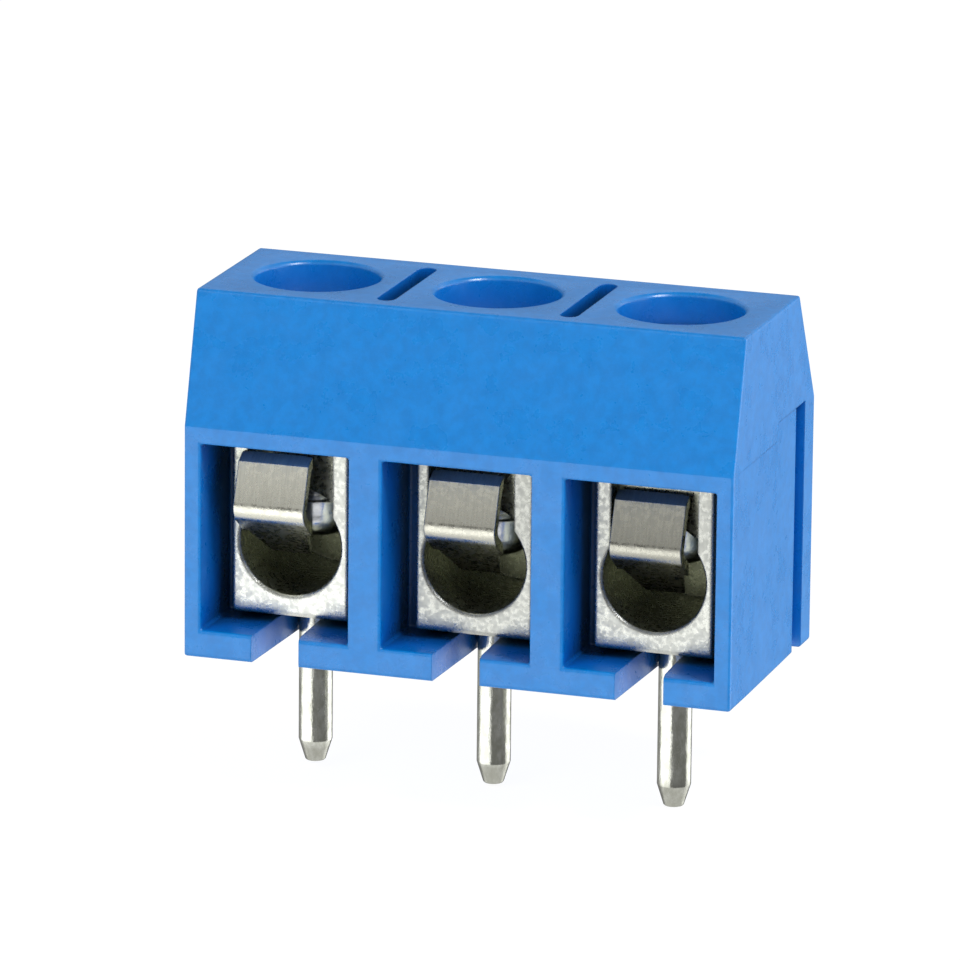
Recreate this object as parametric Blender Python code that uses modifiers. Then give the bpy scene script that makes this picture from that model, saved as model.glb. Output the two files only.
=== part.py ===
"""Three-pole screw terminal block for printed circuit boards, 5.08 mm pitch.

Run with: blender --background --python part.py, or from Blender's text editor.

Frame: metres, +Z up, X along the row of poles, -Y towards the wire entries. The origin is on the
middle pin's axis, level with the face that sits on the board, so the pins reach below Z = 0.
Each pole holds a bored metal cage, a solder pin, a loose L-shaped wire guard and a clamping
screw. The screw turns on its own upright axis, and the guard under its point slides with it.
"""

import math

import bmesh
import bpy
from mathutils import Matrix

MM = 0.001

# Driving dimensions, in millimetres.
PITCH = 5.08
POLES = 3
WIDTH = PITCH * POLES
DEPTH = 7.44
HEIGHT = 9.9
FRONT = -3.42  # Y of the lower front face
BACK = FRONT + DEPTH
PIN_ROW_Y = 0.0  # every screw and pin stands on this row

# Housing outline, seen from the side.
LEDGE_Z = 6.35  # where the front slope starts
FRONT_SLOPE = 0.95
REAR_LEDGE_Z = 6.8
REAR_SLOPE = 1.57
EDGE_ROUND = 0.07

# Wire pockets and the narrower cage chambers behind them.
POCKET_WIDTH = 4.15
POCKET_FLOOR = 0.75
POCKET_ROOF = 5.89
POCKET_DEPTH = 2.3
CHAMBER_WIDTH = 3.5
CHAMBER_DEPTH = 6.0
NOTCH_FRONT = 1.26  # width of the pin's slot in the floor at the front
NOTCH_REAR = 1.04
NOTCH_FLARE = 0.08
NOTCH_FLARE_DEPTH = 0.4

# Screw wells and the recesses between them.
WELL_DIAMETER = 3.36
WELL_FLOOR = 6.9
WELL_ROUND = 0.16
SHANK_HOLE = 2.72
RECESS_WIDTH = 0.51
RECESS_LENGTH = 3.85
RECESS_DEPTH = 0.9
RECESS_Y = FRONT + 3.35

# Joining groove on the right side, rib on the left, and the sunken panel ahead of the groove.
GROOVE_Y = FRONT + 6.0
GROOVE_WIDTH = 0.55
GROOVE_DEPTH = 0.5
GROOVE_TOP = 6.85
RIB_WIDTH = 0.45
RIB_HEIGHT = 0.42
RIB_TOP = 6.7
RIB_ROUND = 0.08
PANEL_DRAFT = math.radians(0.9)  # the panel sinks deeper towards the groove
PANEL_FRONT_Y = FRONT + 0.3
PANEL_STEP_Y = FRONT + 4.05
PANEL_FRONT_TOP = 6.35
PANEL_REAR_TOP = 6.85

# Metal cage.
CAGE_WIDTH = 3.25
CAGE_OFFSETS = (0.0, 0.1, 0.0)  # each cage's sideways play in its chamber
CAGE_FRONT = FRONT + 1.3
CAGE_BACK = FRONT + 5.9
CAGE_BOTTOM = 0.97
CAGE_TOP = 5.8
CAGE_ROUND = 0.05
CAGE_LOWER_ROUND = 0.2  # along the lower front edge
BORE_DIAMETER = 2.85
BORE_CHAMFER = 0.06
BORE_Z = 3.0
BORE_STEP_Y = FRONT + 3.1
BORE_REAR_DIAMETER = 3.0
BORE_END_Y = FRONT + 5.25
SLOT_WIDTH = 2.4
SLOT_BACK = FRONT + 1.95
FOOT_SLOT_BACK = FRONT + 4.75
FOOT_SLOT_TOP = 4.1

# Solder pin.
PIN_DIAMETER = 0.92
PIN_TIP_DIAMETER = 0.56
PIN_REACHES = (3.57, 3.68, 3.78)  # below the board face
PIN_TAPER = 0.6
PIN_TOP = 1.38
PIN_GAP = 0.02

# Wire guard: a bent strip whose foot lies under the screw and whose flap closes the entry.
GUARD_WIDTH = 1.98
GUARD_THICKNESS = 0.28
GUARD_BEND = 0.2  # inside radius
GUARD_ROUND = 0.03
FLAP_LEAN = math.radians(20)
FLAP_LENGTH = 1.11
LIP_LENGTH = 0.42
LIP_LEAN = math.radians(60)
FOOT_SLOPE = math.radians(36)
FOOT_LENGTH = 2.1
FOOT_WIDTH = 1.66
FOOT_END_WIDTH = 1.0
FOOT_START = 0.75  # where the strip narrows, behind the front of its bend
GUARD_OFFSETS = (-0.34, -0.19, -0.16)  # each guard's sideways play, to the left
GUARD_FRONTS = (0.5, 0.87, 1.0)  # front of each bend, behind the housing's front
GUARD_UNDERSIDES = (3.6, 3.48, 3.4)  # height of each bend's underside

# Clamping screw, M2.5 size, 0.45 mm thread pitch.
SCREW_DIAMETER = 2.5
SCREW_HOLE = 2.56
SCREW_TIPS = (2.85, 2.8, 3.05)  # how far down each screw is turned: the height of its point
SCREW_DOME = 0.7
SCREW_TIP_DIAMETER = 0.9
HEAD_DIAMETER = 3.2
SHANK_LENGTH = 5.1
HEAD_HEIGHT = 0.95
HEAD_CHAMFER = 0.12
DRIVE_WIDTH = 0.5
DRIVE_DEPTH = 0.5

SEGMENTS = 48


def clear_scene():
    for obj in list(bpy.data.objects):
        bpy.data.objects.remove(obj, do_unlink=True)


def make_collection(name, hidden=False):
    collection = bpy.data.collections.new(name)
    bpy.context.scene.collection.children.link(collection)
    collection.hide_render = hidden
    return collection


def make_material(name, colour, roughness, metallic):
    material = bpy.data.materials.new(name)
    material.use_nodes = True
    shader = material.node_tree.nodes["Principled BSDF"]
    shader.inputs["Base Color"].default_value = (*colour, 1.0)
    shader.inputs["Roughness"].default_value = roughness
    shader.inputs["Metallic"].default_value = metallic
    return material


def add_object(name, mesh, collection):
    obj = bpy.data.objects.new(name, mesh)
    collection.objects.link(obj)
    return obj


def finish_mesh(bm, name):
    """Turns a bmesh that was drawn in millimetres into a mesh in metres."""
    bmesh.ops.recalc_face_normals(bm, faces=bm.faces)
    bmesh.ops.scale(bm, vec=(MM, MM, MM), verts=bm.verts)
    mesh = bpy.data.meshes.new(name)
    bm.to_mesh(mesh)
    bm.free()
    return mesh


def box_mesh(name, low, high):
    """A box between two corners."""
    bm = bmesh.new()
    size = [b - a for a, b in zip(low, high)]
    middle = [(a + b) / 2 for a, b in zip(low, high)]
    bmesh.ops.create_cube(bm, size=1.0)
    bmesh.ops.scale(bm, vec=size, verts=bm.verts)
    bmesh.ops.translate(bm, vec=middle, verts=bm.verts)
    return finish_mesh(bm, name)


def cylinder_mesh(name, radius, low, high, top_radius=None):
    """An upright cylinder or cone on the Z axis between two heights."""
    bm = bmesh.new()
    bmesh.ops.create_cone(
        bm,
        cap_ends=True,
        segments=SEGMENTS,
        radius1=radius,
        radius2=radius if top_radius is None else top_radius,
        depth=high - low,
    )
    bmesh.ops.translate(bm, vec=(0, 0, (low + high) / 2), verts=bm.verts)
    return finish_mesh(bm, name)


def stacked_mesh(name, rings):
    """A closed upright solid on the Z axis, from (radius, z) rings from the bottom up."""
    bm = bmesh.new()
    turns = [2 * math.pi * k / SEGMENTS for k in range(SEGMENTS)]
    loops = [
        [bm.verts.new((radius * math.cos(a), radius * math.sin(a), z)) for a in turns]
        for radius, z in rings
    ]
    for lower, upper in zip(loops, loops[1:]):
        for k in range(SEGMENTS):
            bm.faces.new((lower[k - 1], lower[k], upper[k], upper[k - 1]))
    bm.faces.new(loops[0])
    bm.faces.new(loops[-1])
    return finish_mesh(bm, name)


def prism_mesh(name, outline, low, high, axis):
    """An outline swept along an axis: (y, z) points along X, or (x, y) points along Z."""
    bm = bmesh.new()
    if axis == "X":
        corners = [bm.verts.new((low, a, b)) for a, b in outline]
        sweep = (high - low, 0, 0)
    else:
        corners = [bm.verts.new((a, b, low)) for a, b in outline]
        sweep = (0, 0, high - low)
    face = bm.faces.new(corners)
    swept = bmesh.ops.extrude_face_region(bm, geom=[face], use_keep_orig=True)
    moved = [item for item in swept["geom"] if isinstance(item, bmesh.types.BMVert)]
    bmesh.ops.translate(bm, vec=sweep, verts=moved)
    return finish_mesh(bm, name)


def cut(target, mesh, cutters, operation="DIFFERENCE"):
    """Cuts a hidden copy of the mesh from the target, or joins it on, with an exact Boolean."""
    cutter = add_object(f"cut_{mesh.name}", mesh, cutters)
    cutter.hide_render = True
    cutter.display_type = "WIRE"
    modifier = target.modifiers.new(mesh.name, "BOOLEAN")
    modifier.operation = operation
    modifier.solver = "EXACT"
    modifier.object = cutter
    return cutter


def bevel(obj, width, segments, angle=30):
    """Rounds the sharp edges that the object has at this point of its modifier stack."""
    modifier = obj.modifiers.new("rounded edges", "BEVEL")
    modifier.width = width * MM
    modifier.segments = segments
    modifier.limit_method = "ANGLE"
    modifier.angle_limit = math.radians(angle)
    modifier.use_clamp_overlap = True
    return modifier


def shade(obj, angle=35):
    obj.data.shade_smooth()
    obj.data.set_sharp_from_angle(angle=math.radians(angle))


def pole_x(pole):
    """X of a pole's middle, poles counted from 0 at the left."""
    return (pole - (POLES - 1) / 2) * PITCH


def arc(centre, radius, start, end, steps):
    """Points round an arc, with angles in degrees."""
    turns = (math.radians(start + (end - start) * i / steps) for i in range(steps + 1))
    return [
        (centre[0] + radius * math.cos(a), centre[1] + radius * math.sin(a)) for a in turns
    ]


def housing_outline():
    """Side outline of the housing, as (y, z) points."""
    return [
        (FRONT, 0.0),
        (BACK, 0.0),
        (BACK, REAR_LEDGE_Z),
        (BACK - REAR_SLOPE, HEIGHT),
        (FRONT + FRONT_SLOPE, HEIGHT),
        (FRONT, LEDGE_Z),
    ]


def panel_outline():
    """The drafted part of the right side, as (y, z) points from the line where it starts."""
    back = GROOVE_Y + GROOVE_WIDTH / 2 - PANEL_FRONT_Y
    step = PANEL_STEP_Y - PANEL_FRONT_Y
    return [
        (-1, -1),
        (back, -1),
        (back, PANEL_REAR_TOP),
        (step, PANEL_REAR_TOP),
        (step - 0.15, PANEL_FRONT_TOP),
        (-1, PANEL_FRONT_TOP),
    ]


def notch_outline(x):
    """The pin's slot in the pocket floor, flared to the right at its mouth, as (x, y) points."""
    front, rear = NOTCH_FRONT / 2, NOTCH_REAR / 2
    flare_end = FRONT + NOTCH_FLARE_DEPTH
    round_end = [(x + a, PIN_ROW_Y + b) for a, b in arc((0, 0), rear, 0, 180, 10)]
    return [
        (x - front, FRONT - 1),
        (x + front + NOTCH_FLARE, FRONT - 1),
        (x + front + NOTCH_FLARE, FRONT),
        (x + front, flare_end),
        *round_end,
        (x - front, FRONT),
    ]


def recess_outline(x):
    """A narrow slot with round ends, as (x, y) points."""
    radius = RECESS_WIDTH / 2
    run = RECESS_LENGTH / 2 - radius
    rear = arc((x, RECESS_Y + run), radius, 0, 180, 6)
    front = arc((x, RECESS_Y - run), radius, 180, 360, 6)
    return rear + front


def make_housing(parts, cutters):
    mesh = prism_mesh("housing", housing_outline(), -WIDTH / 2, WIDTH / 2, "X")
    housing = add_object("housing", mesh, parts)
    for pole in range(POLES):
        cut_pocket(housing, cutters, pole)
    bevel(housing, EDGE_ROUND, 2)

    # The rib on the left side fits the next block's groove.
    rib = box_mesh(
        "rib",
        (-WIDTH / 2 - RIB_HEIGHT, GROOVE_Y + (GROOVE_WIDTH - RIB_WIDTH) / 2, EDGE_ROUND),
        (-WIDTH / 2 + 0.3, GROOVE_Y + (GROOVE_WIDTH + RIB_WIDTH) / 2, RIB_TOP),
    )
    bevel(cut(housing, rib, cutters, "UNION"), RIB_ROUND, 2)
    panel = prism_mesh("side_panel", panel_outline(), 0, 1, "X")
    panel_cutter = cut(housing, panel, cutters)
    panel_cutter.location = (WIDTH / 2 * MM, PANEL_FRONT_Y * MM, 0)
    panel_cutter.rotation_euler.z = PANEL_DRAFT
    groove = box_mesh(
        "side_groove",
        (WIDTH / 2 - GROOVE_DEPTH, GROOVE_Y, -1),
        (WIDTH / 2 + 1, GROOVE_Y + GROOVE_WIDTH, GROOVE_TOP),
    )
    cut(housing, groove, cutters)
    for pole in range(POLES):
        cut_well(housing, cutters, pole)
    for gap in range(POLES - 1):
        x = (pole_x(gap) + pole_x(gap + 1)) / 2
        recess = prism_mesh(
            f"recess_{gap + 1}", recess_outline(x), HEIGHT - RECESS_DEPTH, HEIGHT + 1, "Z"
        )
        cut(housing, recess, cutters)
    shade(housing)
    return housing


def cut_pocket(housing, cutters, pole):
    """Cuts one pole's wire pocket and the narrower chamber that holds its cage."""
    x = pole_x(pole)
    pocket = box_mesh(
        f"pocket_{pole + 1}",
        (x - POCKET_WIDTH / 2, FRONT - 1, POCKET_FLOOR),
        (x + POCKET_WIDTH / 2, FRONT + POCKET_DEPTH, POCKET_ROOF),
    )
    cut(housing, pocket, cutters)
    chamber = box_mesh(
        f"chamber_{pole + 1}",
        (x - CHAMBER_WIDTH / 2, FRONT + POCKET_DEPTH - 0.5, POCKET_FLOOR),
        (x + CHAMBER_WIDTH / 2, FRONT + CHAMBER_DEPTH, POCKET_ROOF),
    )
    cut(housing, chamber, cutters)


def cut_well(housing, cutters, pole):
    """Cuts one pole's pin slot, screw well and shank hole."""
    x = pole_x(pole)
    number = pole + 1
    notch = prism_mesh(f"notch_{number}", notch_outline(x), -1, POCKET_FLOOR + 0.5, "Z")
    cut(housing, notch, cutters)
    mouth = WELL_DIAMETER / 2 + WELL_ROUND
    rim = arc((mouth, HEIGHT - WELL_ROUND), WELL_ROUND, 180, 90, 4)
    rings = [(WELL_DIAMETER / 2, WELL_FLOOR), *rim, (mouth, HEIGHT + 1)]
    well = stacked_mesh(f"well_{number}", rings)
    shank = cylinder_mesh(
        f"shank_{number}", SHANK_HOLE / 2, POCKET_ROOF - 0.5, WELL_FLOOR + 0.5
    )
    for mesh in (well, shank):
        cut(housing, mesh, cutters).location = (x * MM, PIN_ROW_Y * MM, 0)


def lying(mesh, x, y, z):
    """Where a cylinder drawn upright has to go to lie along +Y from a point, in millimetres."""
    turn = Matrix.Rotation(math.radians(-90), 4, "X")
    mesh.transform(Matrix.Translation((x * MM, y * MM, z * MM)) @ turn)
    return mesh


def cage_outline():
    """Side outline of a cage, as (y, z) points."""
    centre = (CAGE_FRONT + CAGE_LOWER_ROUND, CAGE_BOTTOM + CAGE_LOWER_ROUND)
    return [
        (CAGE_FRONT, CAGE_TOP),
        (CAGE_BACK, CAGE_TOP),
        (CAGE_BACK, CAGE_BOTTOM),
        *arc(centre, CAGE_LOWER_ROUND, 270, 180, 5),
    ]


def make_cage(parts, cutters, pole):
    """A solid block with a stepped wire bore, a keyhole slot for the guard and a screw hole."""
    x = pole_x(pole)
    middle = x + CAGE_OFFSETS[pole]
    number = pole + 1
    mesh = prism_mesh(
        f"cage_{number}", cage_outline(), middle - CAGE_WIDTH / 2, middle + CAGE_WIDTH / 2, "X"
    )
    cage = add_object(f"cage_{number}", mesh, parts)
    bevel(cage, CAGE_ROUND, 2)
    bore_length = BORE_STEP_Y - CAGE_FRONT
    bore = cylinder_mesh(f"bore_{number}", BORE_DIAMETER / 2, -1, bore_length)
    cut(cage, lying(bore, middle, CAGE_FRONT, BORE_Z), cutters)
    radius = BORE_DIAMETER / 2
    mouth = cylinder_mesh(
        f"bore_mouth_{number}", radius + 2 * BORE_CHAMFER, -BORE_CHAMFER, BORE_CHAMFER, radius
    )
    cut(cage, lying(mouth, middle, CAGE_FRONT, BORE_Z), cutters)
    rear = cylinder_mesh(
        f"bore_rear_{number}", BORE_REAR_DIAMETER / 2, -0.3, BORE_END_Y - BORE_STEP_Y
    )
    cut(cage, lying(rear, middle, BORE_STEP_Y, BORE_Z), cutters)
    keyhole = box_mesh(
        f"keyhole_{number}",
        (x - SLOT_WIDTH / 2, CAGE_FRONT - 1, BORE_Z),
        (x + SLOT_WIDTH / 2, SLOT_BACK, CAGE_TOP + 1),
    )
    cut(cage, keyhole, cutters)
    foot_slot = box_mesh(
        f"foot_slot_{number}",
        (x - SLOT_WIDTH / 2, CAGE_FRONT - 1, BORE_Z),
        (x + SLOT_WIDTH / 2, FOOT_SLOT_BACK, FOOT_SLOT_TOP),
    )
    cut(cage, foot_slot, cutters)
    hole = cylinder_mesh(f"screw_hole_{number}", SCREW_HOLE / 2, BORE_Z, CAGE_TOP + 1)
    pin_hole = cylinder_mesh(
        f"pin_hole_{number}", PIN_DIAMETER / 2 + PIN_GAP, CAGE_BOTTOM - 1, PIN_TOP + PIN_GAP
    )
    for drilled in (hole, pin_hole):
        cut(cage, drilled, cutters).location = (x * MM, PIN_ROW_Y * MM, 0)
    shade(cage)
    return cage


def turned(name, profile, collection):
    """A solid turned about Z from (radius, z) points that run down its outer side."""
    mesh = bpy.data.meshes.new(name)
    points = [(radius * MM, 0, z * MM) for radius, z in profile]
    edges = [(i, i + 1) for i in range(len(points) - 1)]
    mesh.from_pydata(points, edges, [])
    obj = add_object(name, mesh, collection)
    screw = obj.modifiers.new("turned", "SCREW")
    screw.axis = "Z"
    screw.angle = math.radians(360)
    screw.steps = SEGMENTS
    screw.render_steps = SEGMENTS
    screw.use_merge_vertices = True
    screw.merge_threshold = 0.00001
    screw.use_smooth_shade = False
    return obj


def make_pin(parts, pole):
    """A round solder pin, staked into the cage's floor, with a tapered end."""
    radius = PIN_DIAMETER / 2
    tip = PIN_TIP_DIAMETER / 2
    reach = PIN_REACHES[pole]
    profile = [
        (0, PIN_TOP),
        (radius - 0.06, PIN_TOP),
        (radius, PIN_TOP - 0.06),
        (radius, PIN_TAPER - reach),
        (tip, 0.03 - reach),
        (tip - 0.03, -reach),
        (0, -reach),
    ]
    pin = turned(f"solder_pin_{pole + 1}", profile, parts)
    pin.location = (pole_x(pole) * MM, PIN_ROW_Y * MM, 0)
    return pin


def guard_outline(front_y, underside):
    """Side outline of a guard from the front and the underside of its bend, as (y, z) points."""
    inner, outer = GUARD_BEND, GUARD_BEND + GUARD_THICKNESS
    centre = (front_y + outer, underside + outer)
    lean, slope = math.degrees(FLAP_LEAN), math.degrees(FOOT_SLOPE)
    # The bend turns from the foot's underside round to the flap's front.
    outside = arc(centre, outer, 270 - slope, 180 - lean, 8)
    inside = arc(centre, inner, 180 - lean, 270 - slope, 8)
    foot_way = (math.cos(FOOT_SLOPE), -math.sin(FOOT_SLOPE))
    flap_way = (math.sin(FLAP_LEAN), math.cos(FLAP_LEAN))
    lip_way = (math.sin(LIP_LEAN), math.cos(LIP_LEAN))

    def along(start, way, length):
        return (start[0] + way[0] * length, start[1] + way[1] * length)

    flap_front = along(outside[-1], flap_way, FLAP_LENGTH)
    lip_front = along(flap_front, lip_way, LIP_LENGTH)
    lip_across = (math.cos(LIP_LEAN), -math.sin(LIP_LEAN))
    lip_back = along(lip_front, lip_across, GUARD_THICKNESS)
    # The back of the lip meets the back of the flap a little lower down.
    mitre = GUARD_THICKNESS * math.tan((LIP_LEAN - FLAP_LEAN) / 2)
    flap_back = along(inside[0], flap_way, FLAP_LENGTH - mitre)
    foot_under = along(outside[0], foot_way, FOOT_LENGTH)
    foot_top = along(inside[-1], foot_way, FOOT_LENGTH)
    return [foot_top, foot_under, *outside, flap_front, lip_front, lip_back, flap_back, *inside]


def make_guard(parts, cutters, pole):
    """A bent strip, narrower behind its flap, where it passes through the cage's slot."""
    x = pole_x(pole) + GUARD_OFFSETS[pole]
    front_y = FRONT + GUARD_FRONTS[pole]
    number = pole + 1
    mesh = prism_mesh(
        f"wire_guard_{number}",
        guard_outline(front_y, GUARD_UNDERSIDES[pole]),
        x - GUARD_WIDTH / 2,
        x + GUARD_WIDTH / 2,
        "X",
    )
    guard = add_object(f"wire_guard_{number}", mesh, parts)
    start, end = front_y + FOOT_START, front_y + FOOT_LENGTH
    for side in (-1, 1):
        outline = [
            (x + side * FOOT_WIDTH / 2, start),
            (x + side * FOOT_END_WIDTH / 2, end),
            (x + side * GUARD_WIDTH, end),
            (x + side * GUARD_WIDTH, start),
        ]
        name = "left" if side < 0 else "right"
        cut(guard, prism_mesh(f"{name}_of_foot_{number}", outline, 0, HEIGHT, "Z"), cutters)
    bevel(guard, GUARD_ROUND, 1, 50)
    shade(guard, 30)
    return guard


def make_screw(parts, cutters, pole):
    """A slotted screw whose origin is at its domed point, on its own axis."""
    radius = SCREW_DIAMETER / 2
    head = HEAD_DIAMETER / 2
    tip = SCREW_TIP_DIAMETER / 2
    dome = [
        (
            tip + (radius - tip) * math.cos(math.radians(a)),
            SCREW_DOME * (1 - math.sin(math.radians(a))),
        )
        for a in range(0, 91, 15)
    ]
    top = SHANK_LENGTH + HEAD_HEIGHT
    profile = [
        (0, top),
        (head - HEAD_CHAMFER, top),
        (head, top - HEAD_CHAMFER),
        (head, SHANK_LENGTH),
        (radius, SHANK_LENGTH),
        *dome,
        (0, 0),
    ]
    number = pole + 1
    screw = turned(f"clamp_screw_{number}", profile, parts)
    drive = box_mesh(
        f"drive_{number}",
        (-HEAD_DIAMETER, -DRIVE_WIDTH / 2, top - DRIVE_DEPTH),
        (HEAD_DIAMETER, DRIVE_WIDTH / 2, top + 1),
    )
    place = (pole_x(pole) * MM, PIN_ROW_Y * MM, SCREW_TIPS[pole] * MM)
    cut(screw, drive, cutters).location = place
    screw.location = place
    return screw


def main():
    clear_scene()
    parts = make_collection("screw_terminal_block")
    cutters = make_collection("cutters", hidden=True)
    plastic = make_material("blue moulded plastic", (0.016, 0.22, 0.70), 0.38, 0.0)
    plate = make_material("tin plated brass", (0.80, 0.80, 0.76), 0.30, 1.0)
    pin_metal = make_material("tinned pin", (0.78, 0.77, 0.73), 0.22, 1.0)
    strip = make_material("guard strip", (0.62, 0.61, 0.56), 0.35, 1.0)
    steel = make_material("zinc plated steel", (0.70, 0.71, 0.72), 0.30, 1.0)

    make_housing(parts, cutters).data.materials.append(plastic)
    for pole in range(POLES):
        make_cage(parts, cutters, pole).data.materials.append(plate)
        make_pin(parts, pole).data.materials.append(pin_metal)
        make_guard(parts, cutters, pole).data.materials.append(strip)
        make_screw(parts, cutters, pole).data.materials.append(steel)


main()
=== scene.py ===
"""Visual model of a three-pole screw terminal block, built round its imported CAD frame.

Every size is in metres and in the frame of the CAD part: X along the poles, -Y towards the wire
entries, Z up from the face that sits on the board. The solids keep the CAD part's shape, with
their split corners joined. Only the screws get pieces of their own here, which have a thread.
"""

import math

import bmesh
import bpy
from mathutils import Matrix, Vector


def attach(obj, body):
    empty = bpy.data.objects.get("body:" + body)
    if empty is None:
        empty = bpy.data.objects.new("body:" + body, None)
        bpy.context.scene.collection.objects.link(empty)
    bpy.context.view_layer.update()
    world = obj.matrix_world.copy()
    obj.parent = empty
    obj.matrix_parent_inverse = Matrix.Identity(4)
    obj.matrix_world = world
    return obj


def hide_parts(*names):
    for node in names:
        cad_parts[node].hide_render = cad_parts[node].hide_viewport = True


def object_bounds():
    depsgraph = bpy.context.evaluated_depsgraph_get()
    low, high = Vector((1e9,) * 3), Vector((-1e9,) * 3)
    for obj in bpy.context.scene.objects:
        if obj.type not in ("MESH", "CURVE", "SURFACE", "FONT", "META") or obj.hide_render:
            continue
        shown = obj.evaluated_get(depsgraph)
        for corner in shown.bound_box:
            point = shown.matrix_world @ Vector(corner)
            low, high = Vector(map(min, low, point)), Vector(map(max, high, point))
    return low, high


MM = 0.001
POLES = 3

# Camera, set to the angle and framing of a close product shot with a long lens.
CAMERA_AZIMUTH = math.radians(18.34)
CAMERA_ELEVATION = math.radians(15.17)
CAMERA_ROLL = math.radians(0.56)
CAMERA_DISTANCE = 235.5 * MM
CAMERA_AIM = Vector((-0.50, 0.11, 4.65)) * MM
CAMERA_LENS = 330.8
SENSOR_WIDTH = 36
CLIP_NEAR = 0.01
CLIP_FAR = 20

# Joining of the CAD solids: corners this close are one, and faces this flat are one.
SAME_CORNER = 1e-7
SAME_FACE = math.radians(0.2)
MOULDED_SMOOTHING = 12  # degrees between faces, up to which they shade as one
GUARD_SMOOTHING = 20
SCREW_SMOOTHING = 35

# Screws, as in the CAD part: sizes in millimetres, heights from the point upwards.
SCREW_TIPS = (2.85, 2.8, 3.05)  # heights of the three points above the board
POLE_PITCH = 5.08
SCREW_RADIUS = 1.25
THREAD_PITCH = 0.45
THREAD_DEPTH = 0.2
THREAD_TOP = 5.0
DOME_HEIGHT = 0.7
TIP_RADIUS = 0.45
POINT_RADIUS = 1.16  # of the plain start below the thread, at the dome
POINT_HEIGHT = 1.1
SHANK_LENGTH = 5.1
SCREW_LENGTH = 6.05
HEAD_RADIUS = 1.6
HEAD_CHAMFER = 0.12
DRIVE_WIDTH = 0.5
DRIVE_DEPTH = 0.5
SCREW_TURNS = (0.0, 65.0, 140.0)  # degrees that each drive slot is turned by
SCREW_SIDES = 64
ROWS_PER_TURN = 10
DOME_ROWS = 8

# Thread form in shares of the pitch, and the heights over which it starts and runs out.
CREST_HALF = 0.06
FLANK = 0.36
THREAD_START = 0.15
THREAD_END = 0.3

# Painted light and shade on each pole, from left to right: how bright each cage's and each
# guard's copy of the same plating is made.
CAGE_LIGHT_AND_SHADE = (0.78, 0.53, 0.60)
GUARD_LIGHT_AND_SHADE = (1.0, 0.81, 0.62)

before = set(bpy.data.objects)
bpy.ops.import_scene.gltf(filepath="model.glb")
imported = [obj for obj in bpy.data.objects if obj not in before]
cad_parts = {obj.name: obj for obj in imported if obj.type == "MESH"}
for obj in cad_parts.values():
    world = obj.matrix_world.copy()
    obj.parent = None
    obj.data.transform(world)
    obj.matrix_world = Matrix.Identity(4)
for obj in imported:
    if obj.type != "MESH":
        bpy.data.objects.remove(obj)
cad_low, cad_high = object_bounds()


# Node helpers --------------------------------------------------------------------------------


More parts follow.
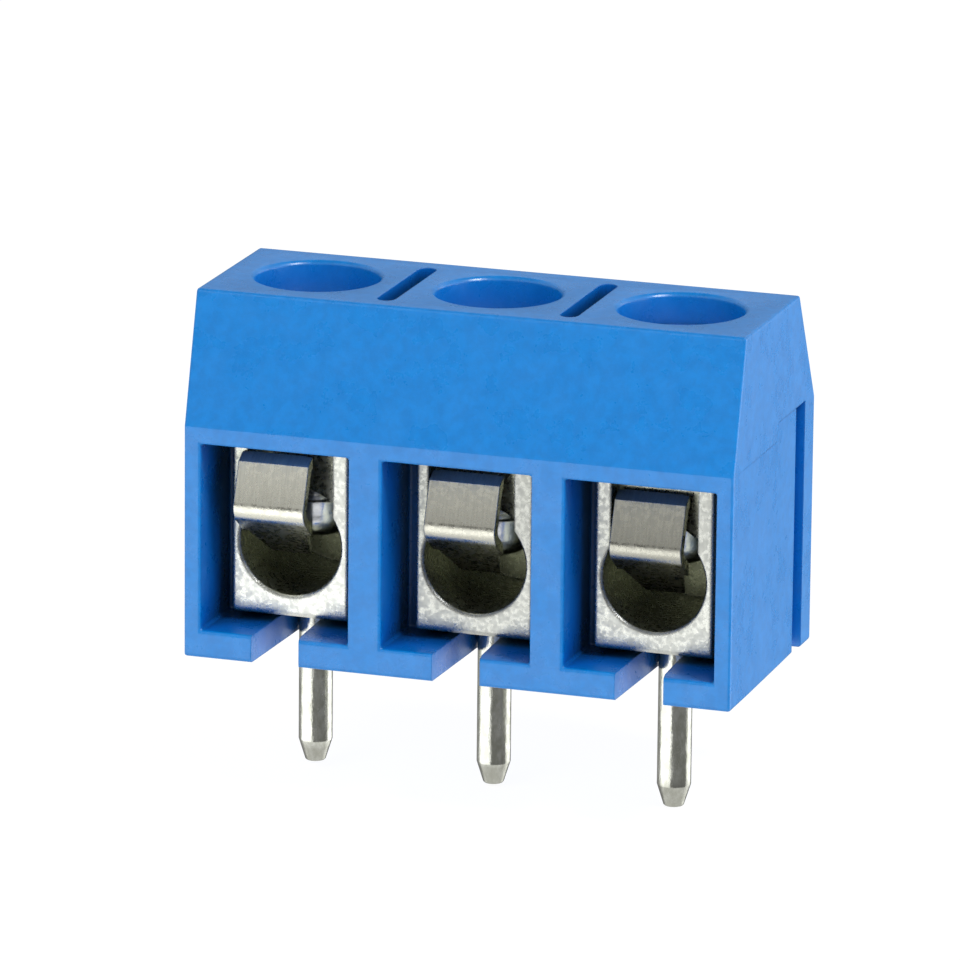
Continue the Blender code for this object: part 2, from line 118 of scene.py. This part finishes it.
class Shader:
    """One node material, with short calls for the nodes that the looks below share."""

    def __init__(self, name):
        self.material = bpy.data.materials.new(name)
        self.material.use_nodes = True
        self.tree = self.material.node_tree
        self.principled = self.tree.nodes["Principled BSDF"]
        self.place = self.node("ShaderNodeTexCoord").outputs["Object"]

    def node(self, kind, **settings):
        made = self.tree.nodes.new(kind)
        for key, value in settings.items():
            setattr(made, key, value)
        return made

    def feed(self, socket, value):
        """Links a socket, or sets a plain value."""
        if isinstance(value, bpy.types.NodeSocket):
            self.tree.links.new(value, socket)
        else:
            socket.default_value = value

    def stretched(self, scale):
        mapping = self.node("ShaderNodeMapping")
        self.feed(mapping.inputs["Vector"], self.place)
        mapping.inputs["Scale"].default_value = scale
        return mapping.outputs["Vector"]

    def noise(self, size, detail=2.0, rough=0.5, stretch=(1, 1, 1)):
        """Noise whose blobs are about size metres across."""
        made = self.node("ShaderNodeTexNoise")
        self.feed(made.inputs["Vector"], self.stretched([s / size for s in stretch]))
        made.inputs["Scale"].default_value = 1.0
        made.inputs["Detail"].default_value = detail
        made.inputs["Roughness"].default_value = rough
        return made.outputs["Fac"]

    def grains(self, size):
        """Cells about size metres across, each with its own random grey."""
        made = self.node("ShaderNodeTexVoronoi")
        self.feed(made.inputs["Vector"], self.stretched([1 / size] * 3))
        made.inputs["Scale"].default_value = 1.0
        return made.outputs["Color"]

    def ramp(self, value, low, high, out_low=0.0, out_high=1.0):
        made = self.node("ShaderNodeMapRange", interpolation_type="SMOOTHSTEP")
        self.feed(made.inputs["Value"], value)
        made.inputs["From Min"].default_value = low
        made.inputs["From Max"].default_value = high
        made.inputs["To Min"].default_value = out_low
        made.inputs["To Max"].default_value = out_high
        return made.outputs["Result"]

    def math(self, operation, a, b):
        made = self.node("ShaderNodeMath", operation=operation)
        self.feed(made.inputs[0], a)
        self.feed(made.inputs[1], b)
        return made.outputs[0]

    def mix(self, share, a, b):
        made = self.node("ShaderNodeMix", data_type="RGBA")
        self.feed(made.inputs["Factor"], share)
        self.feed(made.inputs["A"], (*a, 1.0) if isinstance(a, tuple) else a)
        self.feed(made.inputs["B"], (*b, 1.0) if isinstance(b, tuple) else b)
        return made.outputs["Result"]

    def axis(self, name):
        split = self.node("ShaderNodeSeparateXYZ")
        self.feed(split.inputs[0], self.place)
        return split.outputs[name]

    def bump(self, height, depth, normal=None):
        made = self.node("ShaderNodeBump")
        self.feed(made.inputs["Height"], height)
        made.inputs["Strength"].default_value = 1.0
        made.inputs["Distance"].default_value = depth
        if normal is not None:
            self.feed(made.inputs["Normal"], normal)
        return made.outputs["Normal"]

    def soft_edges(self, radius):
        """The surface normal, turned over a short way at each sharp edge."""
        made = self.node("ShaderNodeBevel", samples=6)
        made.inputs["Radius"].default_value = radius
        return made.outputs["Normal"]

    def openness(self, reach, closed, opened):
        """0 where the surface is boxed in within that reach, 1 where it stands open."""
        made = self.node("ShaderNodeAmbientOcclusion", samples=8)
        made.inputs["Distance"].default_value = reach
        return self.ramp(made.outputs["AO"], closed, opened)

    def facing(self, axis):
        """How far the surface faces along an axis, from -1 to 1."""
        split = self.node("ShaderNodeSeparateXYZ")
        self.feed(split.inputs[0], self.node("ShaderNodeNewGeometry").outputs["Normal"])
        return split.outputs[axis]

    def finish(self, colour, roughness, metallic, normal):
        self.feed(self.principled.inputs["Base Color"], colour)
        self.feed(self.principled.inputs["Roughness"], roughness)
        self.feed(self.principled.inputs["Metallic"], metallic)
        self.feed(self.principled.inputs["Normal"], normal)
        return self.material


def moulded_plastic():
    """Blue engineering plastic: mottling, flow streaks and scuffs, with painted shade darkening
    it in hollows and creases.
    """
    s = Shader("blue moulded plastic")
    mottle = s.noise(0.30 * MM, 6.0, 0.65)
    streaks = s.noise(0.16 * MM, 3.0, 0.6, (1, 1, 0.12))
    blue = s.mix(s.ramp(mottle, 0.3, 0.7), (0.0005, 0.208, 0.640), (0.0010, 0.250, 0.745))
    scuffs = s.ramp(s.noise(0.22 * MM, 4.0, 0.7, (1, 1, 0.4)), 0.68, 0.8)
    blue = s.mix(s.math("MULTIPLY", scuffs, 0.16), blue, (0.16, 0.42, 0.80))
    # Painted shade: the blue turns deeper where the surface is boxed in, and near black deep
    # inside the pockets.
    blue = s.mix(s.openness(5.0 * MM, 0.25, 0.75), (0.0003, 0.135, 0.64), blue)
    blue = s.mix(s.openness(5.0 * MM, 0.08, 0.44), (0.006, 0.05, 0.12), blue)
    # Painted shade: a darker blue along fine creases and steps.
    blue = s.mix(s.openness(0.2 * MM, 0.38, 0.72), (0.001, 0.060, 0.22), blue)
    rough = s.ramp(s.noise(0.9 * MM, 4.0, 0.6), 0.3, 0.7, 0.25, 0.34)
    s.principled.inputs["Specular IOR Level"].default_value = 0.72
    normal = s.bump(streaks, 0.003 * MM, s.soft_edges(0.05 * MM))
    normal = s.bump(s.noise(0.07 * MM, 2.0, 0.5), 0.0025 * MM, normal)
    return s.finish(blue, rough, 0.0, normal)


def plated_cage(number, painted_light_tone):
    """Tin plate with a grainy crystalline skin, with painted shade making it darker towards the
    top and inside the bore.
    """
    s = Shader(f"grainy tin plate {number}")
    cells = s.grains(0.10 * MM)
    # Painted light and shade: this pole's copy of the plating is made brighter or darker by its
    # tone.
    pale = tuple(painted_light_tone * c for c in (0.98, 1.0, 0.94))
    dull = tuple(0.88 * c for c in pale)
    colour = s.mix(s.ramp(s.noise(0.3 * MM, 3.0), 0.35, 0.7), dull, pale)
    # Painted shade: the plating is made darker towards the top of the cage.
    top = tuple(0.62 * c for c in pale)
    colour = s.mix(s.ramp(s.axis("Z"), 2.2 * MM, 4.2 * MM, 0.0, 0.5), colour, top)
    # Painted shade: an olive grey darkens the plating inside the bore and other boxed-in places.
    colour = s.mix(s.openness(4.0 * MM, 0.16, 0.42), (0.54, 0.56, 0.43), colour)
    rough = s.ramp(s.noise(0.12 * MM, 3.0), 0.3, 0.7, 0.20, 0.40)
    normal = s.bump(cells, 0.003 * MM, s.soft_edges(0.10 * MM))
    normal = s.bump(s.noise(0.07 * MM, 3.0, 0.6), 0.0045 * MM, normal)
    return s.finish(colour, rough, 1.0, normal)


def pin_tin():
    """Tinned wire, drawn along its length, with fine dents, and darker towards the end of the
    pin.
    """
    s = Shader("tinned pin")
    blotches = s.ramp(s.noise(0.18 * MM, 5.0, 0.65, (1, 1, 0.5)), 0.35, 0.7)
    colour = s.mix(blotches, (0.58, 0.59, 0.52), (0.82, 0.83, 0.78))
    # Darker over the last few tenths of a millimetre towards the end of the pin.
    end = s.ramp(s.axis("Z"), -3.25 * MM, -2.9 * MM, 0.65, 0.0)
    colour = s.mix(end, colour, (0.30, 0.30, 0.26))
    rough = s.ramp(s.noise(0.2 * MM, 3.0, 0.6, (1, 1, 0.3)), 0.3, 0.7, 0.14, 0.28)
    dents = s.noise(0.14 * MM, 4.0, 0.65, (1, 1, 0.3))
    normal = s.bump(dents, 0.010 * MM, s.soft_edges(0.05 * MM))
    return s.finish(colour, rough, 1.0, normal)


def guard_strip(number, painted_light_tone):
    """Satin strip with its grain running up and down, with painted shade on the faces that do
    not turn upwards and where it is boxed in, and fine cracks bumped into those same faces.
    """
    s = Shader(f"satin guard strip {number}")
    grain = s.noise(0.05 * MM, 3.0, 0.6, (1, 0.1, 0.06))
    # Painted light and shade: this pole's copy of the strip is made brighter or darker by its
    # tone.
    pale = tuple(painted_light_tone * c for c in (0.97, 0.96, 0.84))
    dull = tuple(0.88 * c for c in pale)
    colour = s.mix(s.ramp(grain, 0.3, 0.7), dull, pale)
    # Painted shade: faces that do not turn upwards are painted darker; the same mask also places
    # the fine cracks in the bump.
    shade_and_crack_mask = s.ramp(s.facing("Z"), 0.10, 0.26, 1.0, 0.0)
    colour = s.mix(shade_and_crack_mask, colour, tuple(0.8 * c for c in pale))
    # Painted shade: the strip turns dark where it is boxed in.
    colour = s.mix(s.openness(2.0 * MM, 0.02, 0.18), tuple(0.2 * c for c in pale), colour)
    rough = s.ramp(s.noise(0.15 * MM, 3.0), 0.3, 0.7, 0.22, 0.34)
    rough = s.math("MAXIMUM", rough, s.ramp(s.facing("Z"), 0.5, 0.8, 0.0, 0.55))
    normal = s.bump(grain, 0.003 * MM, s.soft_edges(0.03 * MM))
    cracks = s.math("MULTIPLY", s.noise(0.07 * MM, 3.0, 0.7), shade_and_crack_mask)
    normal = s.bump(cracks, 0.006 * MM, normal)
    return s.finish(colour, rough, 1.0, normal)


def screw_zinc():
    """Bright zinc plate on steel."""
    s = Shader("zinc plated screw")
    blotches = s.ramp(s.noise(0.3 * MM, 3.0), 0.35, 0.7)
    colour = s.mix(blotches, (0.70, 0.72, 0.76), (0.84, 0.86, 0.90))
    rough = s.ramp(s.noise(0.15 * MM, 3.0), 0.3, 0.7, 0.14, 0.24)
    normal = s.bump(s.noise(0.08 * MM, 3.0, 0.6), 0.003 * MM, s.soft_edges(0.03 * MM))
    return s.finish(colour, rough, 1.0, normal)


# Pieces --------------------------------------------------------------------------------------


def linked_object(name, data):
    obj = bpy.data.objects.new(name, data)
    bpy.context.scene.collection.objects.link(obj)
    return obj


def joined_copy(node, name, material, smoothing=MOULDED_SMOOTHING):
    """The CAD solid with its split corners joined and its flat faces made whole."""
    bm = bmesh.new()
    bm.from_mesh(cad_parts[node].data)
    bmesh.ops.remove_doubles(bm, verts=bm.verts, dist=SAME_CORNER)
    bmesh.ops.dissolve_limit(bm, angle_limit=SAME_FACE, verts=bm.verts, edges=bm.edges)
    bm.verts.index_update()
    points = [v.co.copy() for v in bm.verts]
    faces = [[v.index for v in f.verts] for f in bm.faces]
    bm.free()
    mesh = bpy.data.meshes.new(name)
    mesh.from_pydata(points, [], faces)
    mesh.shade_smooth()
    mesh.set_sharp_from_angle(angle=math.radians(smoothing))
    piece = linked_object(name, mesh)
    mesh.materials.append(material)
    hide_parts(node)
    return piece


def clamped(value):
    return min(1.0, max(0.0, value))


def thread_radius(angle, height):
    """Radius of a right-hand thread, which runs out at the tapered start and under the head."""
    turn = (height / THREAD_PITCH - angle / (2 * math.pi)) % 1.0
    flank = clamped((abs(turn - 0.5) - CREST_HALF) / FLANK)
    start = clamped((height - POINT_HEIGHT) / THREAD_START)
    end = clamped((THREAD_TOP - height) / THREAD_END)
    plain = clamped((POINT_HEIGHT - height) / (POINT_HEIGHT - DOME_HEIGHT))
    taper = (SCREW_RADIUS - POINT_RADIUS) * plain
    return SCREW_RADIUS - taper - THREAD_DEPTH * flank * start * end


def screw_mesh(name):
    """The whole turned and threaded screw, before its drive slot is cut."""
    bm = bmesh.new()
    rings = []

    def ring(radius_at, height):
        points = []
        for k in range(SCREW_SIDES):
            angle = 2 * math.pi * k / SCREW_SIDES
            radius = radius_at(angle)
            place = (radius * math.cos(angle), radius * math.sin(angle), height)
            points.append(bm.verts.new(place))
        rings.append(points)

    for i in range(DOME_ROWS + 1):
        a = math.radians(i * 90 / DOME_ROWS)
        radius = TIP_RADIUS + (POINT_RADIUS - TIP_RADIUS) * math.sin(a)
        ring(lambda angle, r=radius: r, DOME_HEIGHT * (1 - math.cos(a)))
    step = THREAD_PITCH / ROWS_PER_TURN
    count = int((THREAD_TOP - DOME_HEIGHT) / step)
    for i in range(1, count + 1):
        height = DOME_HEIGHT + i * step
        ring(lambda angle, h=height: thread_radius(angle, h), height)
    profile = (
        (SCREW_RADIUS, SHANK_LENGTH),
        (HEAD_RADIUS, SHANK_LENGTH),
        (HEAD_RADIUS, SCREW_LENGTH - HEAD_CHAMFER),
        (HEAD_RADIUS - HEAD_CHAMFER, SCREW_LENGTH),
    )
    for radius, height in profile:
        ring(lambda angle, r=radius: r, height)
    for lower, upper in zip(rings, rings[1:]):
        for k in range(SCREW_SIDES):
            j = (k + 1) % SCREW_SIDES
            bm.faces.new((lower[k], lower[j], upper[j], upper[k]))
    bm.faces.new(list(reversed(rings[0])))
    bm.faces.new(rings[-1])
    bmesh.ops.recalc_face_normals(bm, faces=bm.faces)
    mesh = bpy.data.meshes.new(name)
    bm.to_mesh(mesh)
    bm.free()
    return mesh


def threaded_screw(number, material):
    """A slotted screw in its CAD place, as one closed mesh."""
    name = f"threaded_screw_{number}"
    blank = linked_object("screw_blank", screw_mesh("screw_blank"))
    bm = bmesh.new()
    bmesh.ops.create_cube(bm, size=1.0)
    bmesh.ops.scale(bm, vec=(3 * HEAD_RADIUS, DRIVE_WIDTH, 2 * DRIVE_DEPTH), verts=bm.verts)
    bmesh.ops.translate(bm, vec=(0, 0, SCREW_LENGTH), verts=bm.verts)
    turn = Matrix.Rotation(math.radians(SCREW_TURNS[number - 1]), 3, "Z")
    bmesh.ops.rotate(bm, matrix=turn, verts=bm.verts)
    slot_mesh = bpy.data.meshes.new("drive_slot")
    bm.to_mesh(slot_mesh)
    bm.free()
    slot = linked_object("drive_slot", slot_mesh)
    cut = blank.modifiers.new("drive slot", "BOOLEAN")
    cut.operation = "DIFFERENCE"
    cut.solver = "EXACT"
    cut.object = slot
    graph = bpy.context.evaluated_depsgraph_get()
    mesh = bpy.data.meshes.new_from_object(blank.evaluated_get(graph))
    mesh.name = name
    for used in (blank, slot):
        spare = used.data
        bpy.data.objects.remove(used, do_unlink=True)
        bpy.data.meshes.remove(spare)
    x = (number - (POLES + 1) / 2) * POLE_PITCH
    place = Matrix.Translation((x * MM, 0, SCREW_TIPS[number - 1] * MM))
    mesh.transform(place @ Matrix.Scale(MM, 4))
    mesh.shade_smooth()
    mesh.set_sharp_from_angle(angle=math.radians(SCREW_SMOOTHING))
    piece = linked_object(name, mesh)
    mesh.materials.clear()
    mesh.materials.append(material)
    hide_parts(f"clamp_screw_{number}")
    return piece


def build_pieces():
    plastic = moulded_plastic()
    tin = pin_tin()
    zinc = screw_zinc()
    housing = joined_copy("housing", "moulded_housing", plastic)
    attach(housing, "terminal_block")
    for n in range(1, POLES + 1):
        plate = plated_cage(n, CAGE_LIGHT_AND_SHADE[n - 1])
        strip = guard_strip(n, GUARD_LIGHT_AND_SHADE[n - 1])
        cage = joined_copy(f"cage_{n}", f"plated_cage_{n}", plate)
        pin = joined_copy(f"solder_pin_{n}", f"tinned_pin_{n}", tin)
        bent = f"bent_guard_{n}"
        guard = joined_copy(f"wire_guard_{n}", bent, strip, GUARD_SMOOTHING)
        screw = threaded_screw(n, zinc)
        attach(cage, "terminal_block")
        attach(pin, "terminal_block")
        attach(guard, f"guard_{n}")
        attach(screw, f"screw_{n}")


# Studio --------------------------------------------------------------------------------------


# Radiance against degrees to the right of straight ahead, from behind and round by the left.
BELOW_PROFILE = (
    (-180, 0.20),
    (-100, 0.36),
    (-78, 1.9),
    (-10, 1.9),
    (-4, 0.22),
    (104, 0.20),
    (116, 1.8),
    (150, 1.8),
    (162, 0.20),
)
ABOVE_PROFILE = (
    (-180, 0.30),
    (-90, 0.20),
    (-10, 0.06),
    (74, 0.06),
    (84, 2.2),
    (146, 2.2),
    (160, 0.30),
)
HIGH = 0.72  # ring above the boxes
ZENITH = 0.14
STEEP = 0.95  # ground, from about 31 to 43 degrees below level

# Where one band eases into the next, as the sine of the angle above or below level.
LEVEL_BAND = (-0.05, 0.05)
HIGH_BAND = (0.26, 0.36)
ZENITH_BAND = (0.6, 0.9)
STEEP_BAND = (0.52, 0.68)

WARM_WHITE = (1.0, 1.0, 0.985, 1)
BACKDROP_WHITE = (0.99, 0.99, 0.99, 1)

FLOOR_GLOW = 0.93
FLOOR_GREY = (0.15, 0.15, 0.15, 1)
FLOOR_ROUGHNESS = 0.8
FLOOR_RADIUS = 3.0
FLOOR_SIDES = 96
FLOOR_GAP = 0.02 * MM

LAMP_DISTANCE = 0.25
KEY_LAMP = {"azimuth": 68, "elevation": 50, "size": 0.05, "power": 0.26}
FILL_LAMP = {"azimuth": -25, "elevation": 35, "size": 0.12, "power": 0.13}


def studio_world():
    """A white sweep low on the left, a box on the right, and dimmer walls and ceiling."""
    world = bpy.data.worlds.new("studio")
    bpy.context.scene.world = world
    world.use_nodes = True
    tree = world.node_tree
    tree.nodes.clear()

    def node(kind, **settings):
        made = tree.nodes.new(kind)
        for key, value in settings.items():
            setattr(made, key, value)
        return made

    def link(a, b):
        tree.links.new(a, b)

    def calculated(operation, a, b):
        made = node("ShaderNodeMath", operation=operation)
        for socket, value in zip(made.inputs, (a, b)):
            if isinstance(value, bpy.types.NodeSocket):
                link(value, socket)
            else:
                socket.default_value = value
        return made.outputs[0]

    def eased(value, low, high):
        made = node("ShaderNodeMapRange", interpolation_type="SMOOTHSTEP")
        link(value, made.inputs["Value"])
        made.inputs["From Min"].default_value = low
        made.inputs["From Max"].default_value = high
        return made.outputs["Result"]

    def blended(share, a, b):
        made = node("ShaderNodeMix", data_type="FLOAT")
        link(share, made.inputs["Factor"])
        for socket, value in ((made.inputs["A"], a), (made.inputs["B"], b)):
            if isinstance(value, bpy.types.NodeSocket):
                link(value, socket)
            else:
                socket.default_value = value
        return made.outputs["Result"]

    def around(share, profile):
        made = node("ShaderNodeValToRGB")
        made.color_ramp.interpolation = "EASE"
        stops = made.color_ramp.elements
        stops[0].position, stops[1].position = 0.0, 1.0
        first = profile[0][1]
        stops[0].color = (first, first, first, 1)
        stops[1].color = (first, first, first, 1)
        for azimuth, value in profile[1:]:
            stop = stops.new(azimuth / 360 + 0.5)
            stop.color = (value, value, value, 1)
        link(share, made.inputs["Fac"])
        return made.outputs["Color"]

    split = node("ShaderNodeSeparateXYZ")
    link(node("ShaderNodeTexCoord").outputs["Generated"], split.inputs[0])
    up = split.outputs["Z"]
    # Azimuth as a share of a turn: 0.5 is straight ahead of the block, 0.75 its right.
    ahead = calculated("MULTIPLY", split.outputs["Y"], -1.0)
    turn = calculated("ARCTAN2", split.outputs["X"], ahead)
    share = calculated("ADD", calculated("DIVIDE", turn, 2 * math.pi), 0.5)
    down = calculated("MULTIPLY", up, -1.0)
    below, above = around(share, BELOW_PROFILE), around(share, ABOVE_PROFILE)
    radiance = blended(eased(up, *LEVEL_BAND), below, above)
    radiance = blended(eased(up, *HIGH_BAND), radiance, HIGH)
    radiance = blended(eased(up, *ZENITH_BAND), radiance, ZENITH)
    radiance = blended(eased(down, *STEEP_BAND), radiance, STEEP)
    studio = node("ShaderNodeBackground")
    studio.inputs["Color"].default_value = WARM_WHITE
    link(radiance, studio.inputs["Strength"])
    backdrop = node("ShaderNodeBackground")
    backdrop.inputs["Color"].default_value = BACKDROP_WHITE
    seen = node("ShaderNodeMixShader")
    link(node("ShaderNodeLightPath").outputs["Is Camera Ray"], seen.inputs["Fac"])
    link(studio.outputs[0], seen.inputs[1])
    link(backdrop.outputs[0], seen.inputs[2])
    link(seen.outputs[0], node("ShaderNodeOutputWorld").inputs["Surface"])


def make_floor():
    bm = bmesh.new()
    bmesh.ops.create_circle(bm, cap_ends=True, segments=FLOOR_SIDES, radius=FLOOR_RADIUS)
    mesh = bpy.data.meshes.new("floor")
    bm.to_mesh(mesh)
    bm.free()
    floor = linked_object("floor", mesh)
    floor.location.z = cad_low.z - FLOOR_GAP
    floor.visible_glossy = False
    s = Shader("pale floor")
    s.principled.inputs["Base Color"].default_value = FLOOR_GREY
    s.principled.inputs["Roughness"].default_value = FLOOR_ROUGHNESS
    s.principled.inputs["Specular IOR Level"].default_value = 0.0
    s.principled.inputs["Emission Color"].default_value = (1, 1, 1, 1)
    s.principled.inputs["Emission Strength"].default_value = FLOOR_GLOW
    mesh.materials.append(s.material)


def direction(azimuth, elevation):
    """Unit vector out from the block, with the azimuth counted to the right of -Y."""
    flat = math.cos(elevation)
    return Vector((math.sin(azimuth) * flat, -math.cos(azimuth) * flat, math.sin(elevation)))


def make_lamp(name, azimuth, elevation, size, power, mirrored):
    """A square soft light, aimed at the block, which glossy surfaces may or may not mirror."""
    light = bpy.data.lights.new(name, "AREA")
    light.size = size
    light.energy = power
    lamp = linked_object(name, light)
    away = direction(math.radians(azimuth), math.radians(elevation))
    lamp.location = CAMERA_AIM + away * LAMP_DISTANCE
    lamp.rotation_euler = away.to_track_quat("Z", "Y").to_euler()
    lamp.visible_camera = False
    lamp.visible_glossy = mirrored


def make_camera():
    camera = linked_object("camera", bpy.data.cameras.new("camera"))
    back = direction(CAMERA_AZIMUTH, CAMERA_ELEVATION)
    right = Vector((math.cos(CAMERA_AZIMUTH), math.sin(CAMERA_AZIMUTH), 0))
    turn = Matrix((right, back.cross(right), back)).transposed()
    roll = Matrix.Rotation(CAMERA_ROLL, 3, "Z")
    place = Matrix.Translation(CAMERA_AIM + back * CAMERA_DISTANCE)
    camera.matrix_world = place @ (turn @ roll).to_4x4()
    camera.data.lens = CAMERA_LENS
    camera.data.sensor_width = SENSOR_WIDTH
    camera.data.clip_start = CLIP_NEAR
    camera.data.clip_end = CLIP_FAR
    bpy.context.scene.camera = camera


build_pieces()
studio_world()
make_floor()
make_lamp("key", **KEY_LAMP, mirrored=True)
make_lamp("fill", **FILL_LAMP, mirrored=False)
make_camera()
bpy.context.scene.view_settings.view_transform = "Standard"
